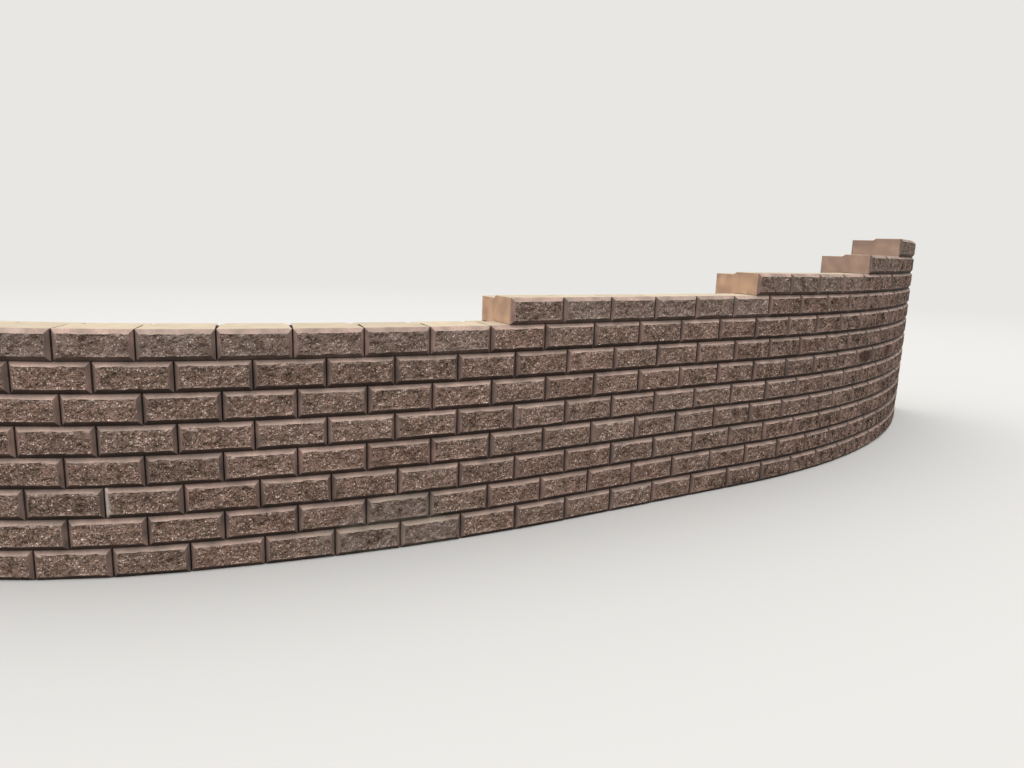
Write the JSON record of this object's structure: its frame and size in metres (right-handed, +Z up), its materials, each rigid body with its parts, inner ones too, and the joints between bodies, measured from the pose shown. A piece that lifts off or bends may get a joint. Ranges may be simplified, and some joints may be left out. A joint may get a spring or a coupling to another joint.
{
  "type": "concrete block garden wall",
  "caption": "Curved garden retaining wall of dry-laid concrete blocks with bevelled split faces, climbing in single-course steps.",
  "frame": {"origin": "centre of the wall's bounding box at its underside", "axes": "+X to the right along the wall, seen from the front, +Y towards the garden side behind the faces, +Z up"},
  "size_m": [7.155, 4.9478, 1.8],
  "materials": {
    "split_face_block": "matte"
  },
  "bodies": {
    "root": {"course_01_left": "split_face_block", "course_01_middle": "split_face_block", "course_01_right": "split_face_block", "course_02_left": "split_face_block", "course_02_middle": "split_face_block", "course_02_right": "split_face_block", "course_03_left": "split_face_block", "course_03_middle": "split_face_block", "course_03_right": "split_face_block", "course_04_left": "split_face_block", "course_04_middle": "split_face_block", "course_04_right": "split_face_block", "course_05_left": "split_face_block", "course_05_middle": "split_face_block", "course_05_right": "split_face_block", "course_06_left": "split_face_block", "course_06_middle": "split_face_block", "course_06_right": "split_face_block", "course_07_left": "split_face_block", "course_07_middle": "split_face_block", "course_07_right": "split_face_block", "course_08_left": "split_face_block", "course_08_middle": "split_face_block", "course_08_right": "split_face_block", "course_09_middle": "split_face_block", "course_09_right": "split_face_block", "course_10_middle": "split_face_block", "course_10_right": "split_face_block", "course_11_right": "split_face_block", "course_12_right": "split_face_block", "left_end_even_courses": "split_face_block", "left_end_odd_courses": "split_face_block", "right_end_even_courses": "split_face_block", "right_end_odd_courses": "split_face_block"}
  },
  "joints": []
}
